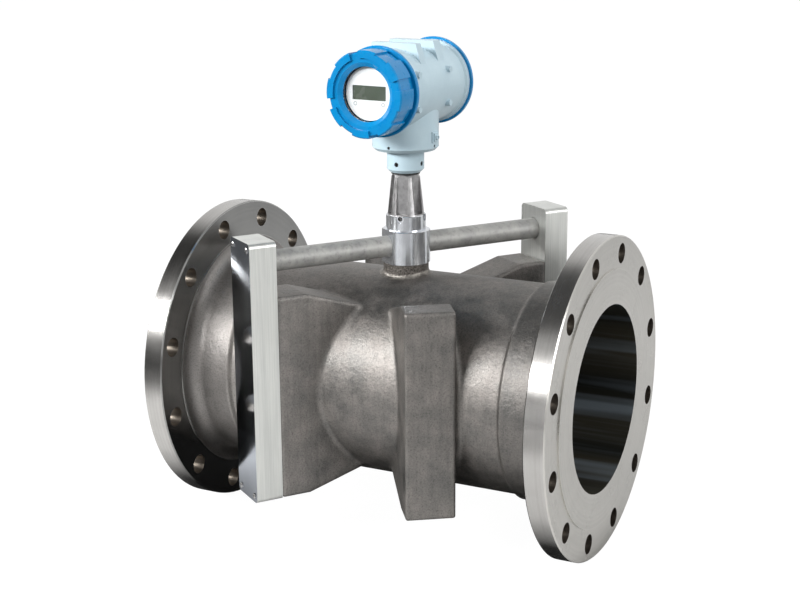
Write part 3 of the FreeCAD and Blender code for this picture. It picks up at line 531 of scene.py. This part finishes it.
def screen_look():
    """Grey-green liquid crystal panel with a faint pixel weave."""
    look = Look("screen_plastic", Metallic=0.0)
    cells = look.add("ShaderNodeTexBrick", offset=0.0)
    look.link(look.stretched((1.0, 0.0, 1.0)), cells.inputs["Vector"])
    cells.inputs["Scale"].default_value = 900.0
    cells.inputs["Mortar Size"].default_value = 0.05
    cells.inputs["Color1"].default_value = colour(84, 92, 80)
    cells.inputs["Color2"].default_value = colour(80, 88, 76)
    cells.inputs["Mortar"].default_value = colour(76, 84, 73)
    shade = look.noise(40.0, 2.0)
    tint = look.mix(look.band(shade, 0.3, 0.7, 0.0, 0.3), cells.outputs["Color"], colour(96, 104, 91))
    low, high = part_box("screen_panel")
    parts = look.axes()
    # Painted shadow along the screen's top and left edges
    above = look.band(parts[2], high.z - screen_top_painted_shadow[1], high.z - screen_top_painted_shadow[0])
    beside = look.band(parts[0], low.x + screen_left_painted_shadow[0], low.x + screen_left_painted_shadow[1], 1.0, 0.0)
    tint = look.mix(look.math("MAXIMUM", above, beside), tint, colour(34, 37, 34))
    return look.finish(tint, look.band(shade, 0.3, 0.7, 0.2, 0.3))


def moulded_look(name, main, shade):
    """Moulded plastic with a fine grain."""
    look = Look(name, Metallic=0.0)
    grain = look.noise(800.0, 3.0)
    tint = look.mix(grain, main, shade)
    return look.finish(tint, look.band(grain, 0.3, 0.7, 0.4, 0.55), look.bump(grain, 0.2, 0.0002))


looks = {
    "cast_stainless": cast_look(),
    "sheet_stainless": sheet_look(),
    "mirror_stainless": mirror_look(),
    "polished_stainless": upright_turned_look(
        "polished_stainless", colour(208, 211, 216), colour(226, 229, 233), 0.10, 0.20, 0.5
    ),
    "neck_stainless": neck_look(),
    "conduit_stainless": conduit_look(),
    "turned_stainless": plain_metal_look(
        "turned_stainless", colour(158, 157, 156), colour(190, 189, 188), 0.22, 0.34
    ),
    "dark_screw_steel": plain_metal_look(
        "dark_screw_steel", colour(34, 34, 36), colour(62, 62, 64), 0.30, 0.42
    ),
    "probe_metal": plain_metal_look("probe_metal", colour(150, 147, 140), colour(176, 173, 166), 0.28, 0.4),
    "black_rubber": rubber_look(),
    "head_paint": paint_look(
        "head_paint", colour(183, 205, 215), colour(191, 212, 221), 0.36, 0.46, 0.15, colour(214, 228, 236)
    ),
    "cover_paint": paint_look(
        "cover_paint", colour(0, 124, 184), colour(0, 134, 195), 0.24, 0.34, 0.5, colour(40, 150, 212)
    ),
    "window_glass": glass_look(),
    "dial_plastic": dial_look(),
    "screen_plastic": screen_look(),
    "module_plastic": moulded_look("module_plastic", colour(26, 26, 28), colour(44, 44, 46)),
    "terminal_plastic": moulded_look("terminal_plastic", colour(34, 74, 44), colour(46, 92, 56)),
    "terminal_brass": plain_metal_look(
        "terminal_brass", colour(190, 164, 96), colour(216, 190, 120), 0.2, 0.3
    ),
}

# Every node takes the look of its slot
for row in frame["record"]["subparts"]:
    mesh = nodes[row["node"]].data
    mesh.materials.clear()
    mesh.materials.append(looks[row["material_slot"]])

# Nodes that look different from the rest of their slot
for name, look_name in (
    ("neck_ring", "black_rubber"), ("earth_clamp", "head_paint"), ("earth_screw", "head_paint")
):
    nodes[name].data.materials[0] = looks[look_name]

# Folded rims of the end plates look like the sheet, only their fronts are polished
for side in ("near", "far"):
    low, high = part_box("end_plate_" + side)
    outward = Vector((low.x + high.x, low.y + high.y, 0.0)).normalized()
    pan = nodes["end_plate_" + side].data
    pan.materials.append(looks["sheet_stainless"])
    for facet in pan.polygons:
        facet.material_index = 0 if facet.normal.dot(outward) > polished_facing else 1


def cover_back(side):
    """Sheet that closes a sensor cover above the wing, with a hole for the conduit."""
    low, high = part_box("end_plate_" + side)
    along = Vector((low.x + high.x, low.y + high.y, 0.0)).normalized()
    across = Vector((-along.y, along.x, 0.0))
    outline = [(-cover_half_width, wing_top), (cover_half_width, wing_top)]
    for middle, first in ((cover_half_width - cover_corner, 0), (cover_corner - cover_half_width, 90)):
        for k in range(corner_steps + 1):
            turn = math.radians(first + 90 * k / corner_steps)
            outline.append((
                middle + cover_corner * math.cos(turn),
                cover_top - cover_corner + cover_corner * math.sin(turn),
            ))
    hole = []
    for k in range(hole_steps):
        turn = math.radians(360 * k / hole_steps)
        hole.append((
            (conduit_radius + conduit_play) * math.cos(turn),
            conduit_height + (conduit_radius + conduit_play) * math.sin(turn),
        ))
    curve = bpy.data.curves.new("cover_back_" + side, "CURVE")
    curve.dimensions = "2D"
    curve.fill_mode = "BOTH"
    curve.extrude = sheet_thickness / 2
    for corners in (outline, hole):
        line = curve.splines.new("POLY")
        line.points.add(len(corners) - 1)
        for point, (x, y) in zip(line.points, corners):
            point.co = (x, y, 0.0, 1.0)
        line.use_cyclic_u = True
    drawn = bpy.data.objects.new("cover_back_drawing", curve)
    mesh = bpy.data.meshes.new_from_object(drawn)
    bpy.data.objects.remove(drawn)
    turn = Matrix((across, Vector((0.0, 0.0, 1.0)), along)).transposed().to_4x4()
    middle = along * (wing_end + cover_back_gap + sheet_thickness / 2)
    mesh.transform(Matrix.Translation(middle) @ turn)
    mesh.materials.clear()
    mesh.materials.append(looks["sheet_stainless"])
    plate = bpy.data.objects.new("cover_back_" + side, mesh)
    bpy.context.scene.collection.objects.link(plate)
    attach(plate, "base")


for side in ("near", "far"):
    cover_back(side)


def body_zone(centre, normal):
    """Which finish a facet of the casting has, from where it lies."""
    radius = math.hypot(centre.y, centre.z)
    along = abs(centre.x)
    stem = math.hypot(centre.x, centre.y)
    if radius < bore_radius + facet_slack and along < half_length:
        return "bore"
    if along > flange_back - flange_back_edge:
        if abs(normal.x) < hole_wall_tilt and radius > bolt_circle - bolt_hole_radius - hole_slack:
            for k in range(bolt_count):
                turn = math.radians(360.0 / bolt_count * (k + 0.5))
                y = -bolt_circle * math.sin(turn)
                z = bolt_circle * math.cos(turn)
                if math.hypot(centre.y - y, centre.z - z) < bolt_hole_radius + facet_slack:
                    return "hole"
            return "rim"
        if along > half_length - face_depth:
            return "face"
        if radius > hub_edge:
            return "back"
    if centre.z > boss_start and stem < boss_reach:
        return "boss"
    if centre.z > foot_start and stem < foot_reach:
        return "foot"
    return "cast"


zones = {
    "cast": looks["cast_stainless"],
    "bore": bore_look(),
    "face": lathe_look(
        "faced_flange", colour(188, 186, 181), colour(206, 204, 199), 0.24, 0.34, "radius"
    ),
    # The flange backs are darker than the faced fronts as painted shade
    "back": lathe_look(
        "faced_back_painted_shade", colour(140, 140, 139), colour(158, 158, 156), 0.13, 0.20, "radius"
    ),
    "rim": lathe_look(
        "turned_rim", colour(168, 166, 163), colour(196, 194, 191), 0.19, 0.29, "length", 3600.0
    ),
    "hole": drilled_look(),
    "boss": boss_look(),
    "foot": foot_look(),
}
casting = nodes["meter_body"].data
casting.materials.clear()
zone_index = {}
for zone, material in zones.items():
    zone_index[zone] = len(casting.materials)
    casting.materials.append(material)
for facet in casting.polygons:
    facet.material_index = zone_index[body_zone(facet.center, facet.normal)]


def floor_material():
    """White table: mostly its own brightness for the camera.

    Mirrors see it lit by the lamps, with painted shadow under the meter and painted shade far out to the
    front and left.
    The light it throws back on the meter is less than its white would give.
    """
    look = Look("studio_floor", Roughness=0.9)
    shade = look.noise(3.0, 2.0)
    path = look.add("ShaderNodeLightPath")
    mirrored = look.math("MAXIMUM", path.outputs["Is Glossy Ray"], path.outputs["Is Transmission Ray"])
    paper = look.mix(look.band(shade, 0.3, 0.7), colour(226, 226, 226), colour(230, 230, 230))
    parts = look.axes()
    along = look.math(
        "MULTIPLY", look.band(parts[0], *shade_left), look.band(parts[0], *shade_right, 1.0, 0.0)
    )
    across = look.math(
        "MULTIPLY", look.band(parts[1], *shade_front), look.band(parts[1], *shade_rear, 1.0, 0.0)
    )
    # Painted shadow under the meter and painted shade far out to the left and front, seen only in mirrors
    under = look.math("MULTIPLY", across, along)
    level = look.math("SUBTRACT", 1.0, under)
    level = look.math("MULTIPLY", level, look.band(parts[0], *room_left, room_left_level, 1.0))
    level = look.math("MULTIPLY", level, look.band(parts[1], *room_front, room_front_level, 1.0))
    shaded = look.math("MULTIPLY", mirrored, look.math("SUBTRACT", 1.0, level))
    paper = look.mix(shaded, paper, colour(8, 8, 9))
    look.finish(look.mix(path.outputs["Is Diffuse Ray"], paper, colour(104, 104, 104)))
    seen = look.math(
        "MAXIMUM",
        look.math("MULTIPLY", path.outputs["Is Camera Ray"], camera_glow_share),
        look.math("MULTIPLY", mirrored, look.math("MULTIPLY", level, mirror_glow_share)),
    )
    own = look.add("ShaderNodeEmission")
    own.inputs["Strength"].default_value = floor_glow
    both = look.add("ShaderNodeMixShader")
    look.link(seen, both.inputs[0])
    look.link(look.shader.outputs[0], both.inputs[1])
    look.link(own.outputs[0], both.inputs[2])
    look.link(both.outputs[0], look.tree.nodes["Material Output"].inputs["Surface"])
    return look.material


def floor():
    """Wide plane of the white table, just under the meter."""
    size = studio_half_width
    mesh = bpy.data.meshes.new("studio_floor")
    corners = [(-size, -size), (size, -size), (size, size), (-size, size)]
    mesh.from_pydata([(x, y, floor_level - floor_drop) for x, y in corners], [], [(0, 1, 2, 3)])
    plane = bpy.data.objects.new("studio_floor", mesh)
    bpy.context.scene.collection.objects.link(plane)
    mesh.materials.append(floor_material())


def card(name, first_azimuth, last_azimuth, top, level):
    """Upright curved card of one grey that only shows in mirrors, at azimuths from -Y towards +X."""
    corners = []
    for k in range(card_steps + 1):
        turn = math.radians(first_azimuth + (last_azimuth - first_azimuth) * k / card_steps)
        for height in (card_foot, top):
            corners.append((card_distance * math.sin(turn), -card_distance * math.cos(turn), height))
    faces = [(2 * k, 2 * k + 2, 2 * k + 3, 2 * k + 1) for k in range(card_steps)]
    mesh = bpy.data.meshes.new(name)
    mesh.from_pydata(corners, [], faces)
    screen = bpy.data.objects.new(name, mesh)
    bpy.context.scene.collection.objects.link(screen)
    look = Look(name, Roughness=0.9)
    grain = look.noise(40.0, 3.0)
    grey = colour(level, level, level)
    look.finish(look.mix(grain, grey, colour(level + 6, level + 6, level + 8)))
    mesh.materials.append(look.material)
    screen.visible_camera = False
    screen.visible_diffuse = False
    screen.visible_shadow = False
    screen.visible_transmission = False


def add_ramp(tree, value, steps):
    """Grey levels placed along a value from 0 to 1."""
    ramp = tree.nodes.new("ShaderNodeValToRGB")
    tree.links.new(value, ramp.inputs["Fac"])
    ramp.color_ramp.elements[0].position = steps[0][0]
    ramp.color_ramp.elements[1].position = steps[-1][0]
    for position, level in steps[1:-1]:
        ramp.color_ramp.elements.new(position)
    for element, (position, level) in zip(ramp.color_ramp.elements, steps):
        element.position = position
        element.color = (level, level, level, 1.0)
    return ramp.outputs["Color"]


def share_between(tree, value, low, high):
    """Value between low and high mapped to 0 and 1."""
    node = tree.nodes.new("ShaderNodeMapRange")
    node.inputs["From Min"].default_value = low
    node.inputs["From Max"].default_value = high
    tree.links.new(value, node.inputs["Value"])
    return node.outputs["Result"]


def blend(tree, share, first, second, mode):
    """Two colours of the world mixed or multiplied by a share."""
    node = tree.nodes.new("ShaderNodeMix")
    node.data_type = "RGBA"
    node.blend_type = mode
    for socket, value in (("Factor", share), ("A", first), ("B", second)):
        if isinstance(value, bpy.types.NodeSocket):
            tree.links.new(value, node.inputs[socket])
        else:
            node.inputs[socket].default_value = value
    return node.outputs["Result"]


def world():
    """White to the camera; for everything else a studio with a bright rear and right.

    Its left and its ceiling are dark, its front is grey with a paler band above.
    """
    scene_world = bpy.data.worlds.new("studio")
    bpy.context.scene.world = scene_world
    scene_world.use_nodes = True
    tree = scene_world.node_tree
    back = tree.nodes["Background"]
    place = tree.nodes.new("ShaderNodeTexCoord")
    parts = tree.nodes.new("ShaderNodeSeparateXYZ")
    tree.links.new(place.outputs["Generated"], parts.inputs[0])
    front = add_ramp(tree, share_between(tree, parts.outputs[2], -1.0, 1.0), front_levels)
    rear = add_ramp(tree, share_between(tree, parts.outputs[2], -1.0, 1.0), rear_levels)
    left = add_ramp(tree, share_between(tree, parts.outputs[0], *left_edge), left_levels)
    left_room = blend(tree, 1.0, front, left, "MULTIPLY")
    right = share_between(tree, parts.outputs[0], *right_edge)
    near_room = blend(tree, right, left_room, right_grey, "MIX")
    room = blend(tree, share_between(tree, parts.outputs[1], *rear_edge), near_room, rear, "MIX")
    path = tree.nodes.new("ShaderNodeLightPath")
    both = blend(tree, path.outputs["Is Camera Ray"], room, (1.0, 1.0, 1.0, 1.0), "MIX")
    tree.links.new(both, back.inputs["Color"])


def lamp(name, place, size, power):
    """Soft box of the given width and height, facing the meter."""
    data = bpy.data.lights.new(name, "AREA")
    data.shape = "RECTANGLE"
    data.size, data.size_y = size
    data.energy = power
    box = bpy.data.objects.new(name, data)
    box.location = place
    box.rotation_mode = "QUATERNION"
    box.rotation_quaternion = (Vector(lamp_aim) - Vector(place)).to_track_quat("-Z", "Y")
    bpy.context.scene.collection.objects.link(box)
    return box


def camera():
    """Camera of the photograph, looking along its azimuth and elevation."""
    azimuth = math.radians(camera_azimuth)
    elevation = math.radians(camera_elevation)
    back = Vector((
        math.sin(azimuth) * math.cos(elevation),
        -math.cos(azimuth) * math.cos(elevation),
        math.sin(elevation),
    ))
    right = Vector((math.cos(azimuth), math.sin(azimuth), 0.0))
    turn = Matrix.Rotation(math.radians(camera_roll), 3, back)
    right = turn @ right
    up = back.cross(right)
    data = bpy.data.cameras.new("camera")
    data.lens = camera_lens
    data.sensor_width = camera_sensor
    data.clip_start = 0.05
    data.clip_end = 60.0
    eye = bpy.data.objects.new("camera", data)
    eye.rotation_mode = "QUATERNION"
    eye.rotation_quaternion = Matrix((right, up, back)).transposed().to_quaternion()
    eye.location = camera_place
    bpy.context.scene.collection.objects.link(eye)
    bpy.context.scene.camera = eye


floor()
world()
card("left_card", -24.0, 8.0, 0.22, 250)
card("right_card", 44.0, 54.0, 0.18, 225)
lamp("key_soft_box", (-1.2, -2.1, 1.18), (1.8, 0.42), 70.0)
lamp("left_soft_box", (-2.45, -0.9, 0.98), (1.5, 0.4), 44.0)
lamp("right_soft_box", (2.3, -0.5, 0.9), (1.3, 1.2), 24.0)
lamp("top_soft_box", (0.2, 0.6, 2.3), (1.6, 1.6), 12.0).visible_glossy = False
camera()

bpy.context.scene.view_settings.view_transform = "Standard"
